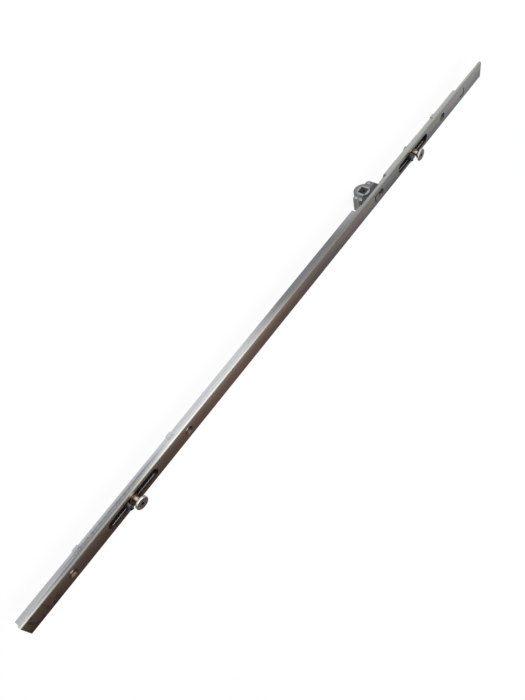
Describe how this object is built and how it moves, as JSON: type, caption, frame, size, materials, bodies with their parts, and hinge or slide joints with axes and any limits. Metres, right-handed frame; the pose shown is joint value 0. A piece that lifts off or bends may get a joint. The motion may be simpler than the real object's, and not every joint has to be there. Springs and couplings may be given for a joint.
{
  "type": "window espagnolette gearbox",
  "caption": "Window espagnolette: long faceplate with mushroom cams on a sliding rod, driven by a rack and pinion gearbox with a square spindle hole.",
  "frame": {"origin": "centre of the square spindle hole, half way through the gearbox", "axes": "+X along the faceplate from its long end to the end nearer the gearbox; +Y along the spindle; +Z out of the faceplate's front, the way the cams stand"},
  "size_m": [0.6, 0.016, 0.0271],
  "materials": {
    "passivated_plate": "zinc plated with a faint iridescent passivation, glossy",
    "rod_steel": "pale zinc plated rolled steel",
    "die_cast_zinc": "granular grey zinc die casting",
    "bright_steel": "bright riveted steel",
    "sintered_steel": "oiled sintered steel",
    "cam_steel": "turned and nickel plated"
  },
  "bodies": {
    "frame": {"faceplate": "passivated_plate", "gearbox_case": "die_cast_zinc", "gearbox_cover": "die_cast_zinc", "case_rivets": "bright_steel", "near_rod_guide": "rod_steel", "inner_rod_guide": "rod_steel", "far_rod_guide": "rod_steel"},
    "hub": {"spindle_hub": "sintered_steel"},
    "rods": {"drive_rack": "sintered_steel", "rack_rivets": "bright_steel", "near_drive_rod": "rod_steel", "far_drive_rod": "rod_steel", "near_cam_carrier": "die_cast_zinc", "far_cam_carrier": "die_cast_zinc", "near_carrier_rivets": "bright_steel", "far_carrier_rivets": "bright_steel", "near_cam_washer": "bright_steel", "far_cam_washer": "bright_steel"},
    "near_cam": {"near_cam": "cam_steel"},
    "far_cam": {"far_cam": "cam_steel"}
  },
  "joints": [
    {"name": "rod_slide", "type": "slide", "parent": "frame", "child": "rods", "axis": [1, 0, 0], "range_m": [-0.01005, 0.01005]},
    {"name": "hub_turn", "type": "hinge", "parent": "frame", "child": "hub", "pos_m": [0, 0, 0], "axis": [0, 1, 0], "range_deg": [-95, 95]},
    {"name": "near_cam_adjust", "type": "hinge", "parent": "rods", "child": "near_cam", "pos_m": [-0.3089, 0, 0.01], "axis": [0, 0, 1], "range_deg": [-180, 180]},
    {"name": "far_cam_adjust", "type": "hinge", "parent": "rods", "child": "far_cam", "pos_m": [0.0634, 0, 0.01], "axis": [0, 0, 1], "range_deg": [-180, 180]}
  ],
  "couplings": [
    {"joint": "hub_turn", "follows": "rod_slide", "rad_per_m": 156.25}
  ]
}
